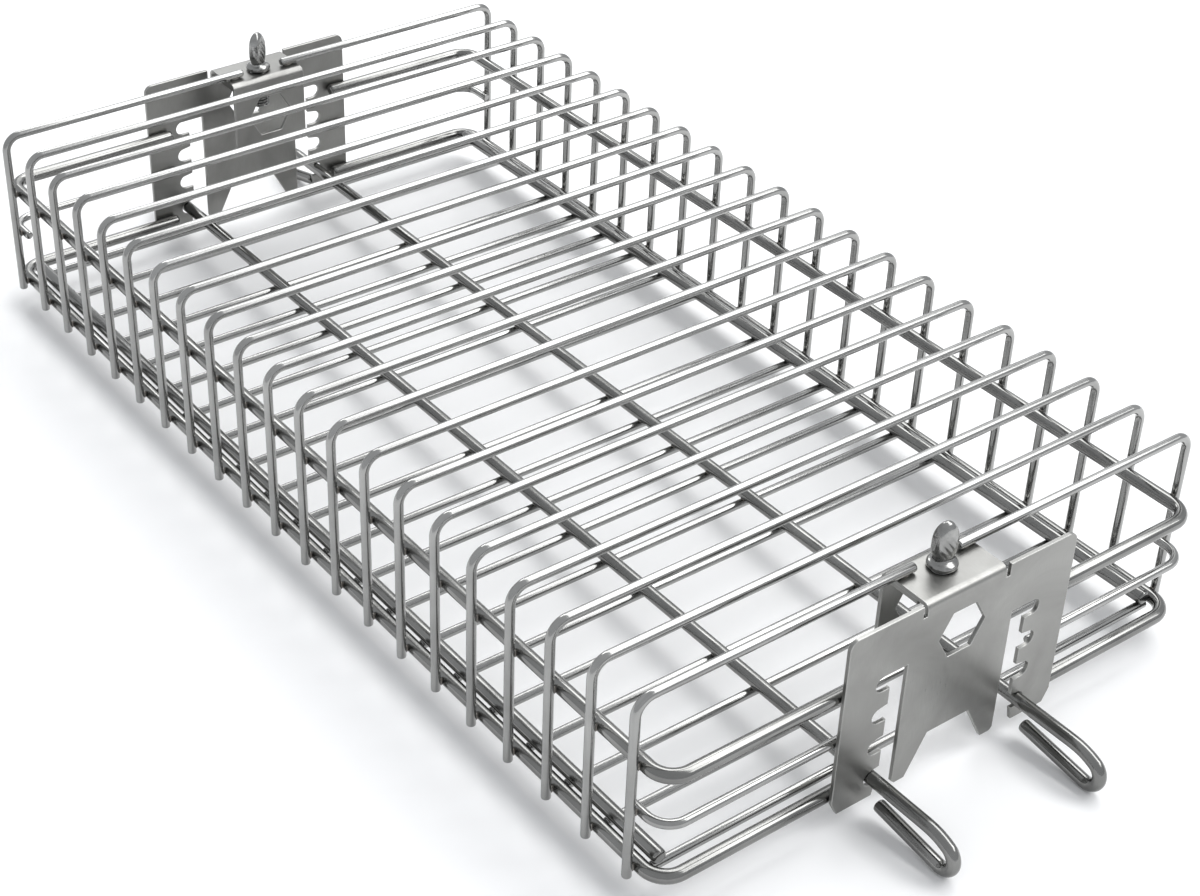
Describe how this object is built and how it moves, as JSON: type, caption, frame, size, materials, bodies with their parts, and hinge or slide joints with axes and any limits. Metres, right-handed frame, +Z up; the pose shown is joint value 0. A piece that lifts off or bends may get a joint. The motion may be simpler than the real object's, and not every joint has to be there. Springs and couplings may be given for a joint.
{
  "type": "flat rotisserie spit basket",
  "caption": "Flat stainless wire rotisserie basket with a stepped lid, notched end plates with hexagonal spit holes, thumb screws and squeeze handles.",
  "frame": {"origin": "centre of the bounding box at the surface the closed basket stands on, its handles' lowest wires", "axes": "+X along the basket towards the end with the longer handles, +Y across it, +Z up, from the lid to the closed side of the basket"},
  "size_m": [0.495, 0.2322, 0.0908],
  "materials": {
    "basket_wire": "bright polished stainless wire",
    "ring_rod": "bright stainless rod",
    "handle_rod": "bright stainless rod",
    "lid_wire": "bright stainless wire and rod, welded",
    "end_sheet": "satin stainless sheet",
    "tapped_plate": "satin stainless",
    "screw": "satin stainless"
  },
  "bodies": {
    "basket": {"hoop_02": "basket_wire", "hoop_03": "basket_wire", "hoop_04": "basket_wire", "hoop_05": "basket_wire", "hoop_06": "basket_wire", "hoop_07": "basket_wire", "hoop_08": "basket_wire", "hoop_09": "basket_wire", "hoop_10": "basket_wire", "hoop_11": "basket_wire", "hoop_12": "basket_wire", "hoop_13": "basket_wire", "hoop_14": "basket_wire", "hoop_15": "basket_wire", "hoop_16": "basket_wire", "hoop_17": "basket_wire", "hoop_18": "basket_wire", "hoop_19": "basket_wire", "hoop_20": "basket_wire", "end_hoop_far_left": "basket_wire", "end_hoop_far_right": "basket_wire", "end_hoop_near_left": "basket_wire", "end_hoop_near_right": "basket_wire", "mid_rail_far_left": "basket_wire", "mid_rail_far_right": "basket_wire", "mid_rail_near_left": "basket_wire", "mid_rail_near_right": "basket_wire", "upper_ring_left": "ring_rod", "upper_ring_right": "ring_rod", "lower_ring_left": "ring_rod", "lower_ring_right": "ring_rod", "end_plate_far": "end_sheet", "end_plate_near": "end_sheet", "tapped_plate_far": "tapped_plate", "tapped_plate_near": "tapped_plate"},
    "lid": {"inner_rod_left": "handle_rod", "inner_rod_right": "handle_rod", "lid_grid": "lid_wire"},
    "near_stem": {"screw_stem_near": "screw"},
    "near_head": {"screw_head_near": "screw"},
    "far_stem": {"screw_stem_far": "screw"},
    "far_head": {"screw_head_far": "screw"}
  },
  "joints": [
    {"name": "lid_lift", "type": "slide", "parent": "basket", "child": "lid", "axis": [0, 0, 1], "range_m": [0, 0.0378], "deforming": ["inner_rod_left", "inner_rod_right"]},
    {"name": "near_screw_rise", "type": "slide", "parent": "basket", "child": "near_stem", "axis": [0, 0, 1], "range_m": [0, 0.0025]},
    {"name": "near_screw_turn", "type": "hinge", "parent": "near_stem", "child": "near_head", "pos_m": [0.1964, 0, 0.0762], "axis": [0, 0, 1], "range_deg": [0, 721]},
    {"name": "far_screw_rise", "type": "slide", "parent": "basket", "child": "far_stem", "axis": [0, 0, 1], "range_m": [0, 0.0025]},
    {"name": "far_screw_turn", "type": "hinge", "parent": "far_stem", "child": "far_head", "pos_m": [-0.209, 0, 0.0762], "axis": [0, 0, 1], "range_deg": [0, 721]}
  ],
  "couplings": [
    {"joint": "near_screw_turn", "follows": "near_screw_rise", "rad_per_m": 5026.5},
    {"joint": "far_screw_turn", "follows": "far_screw_rise", "rad_per_m": 5026.5}
  ]
}
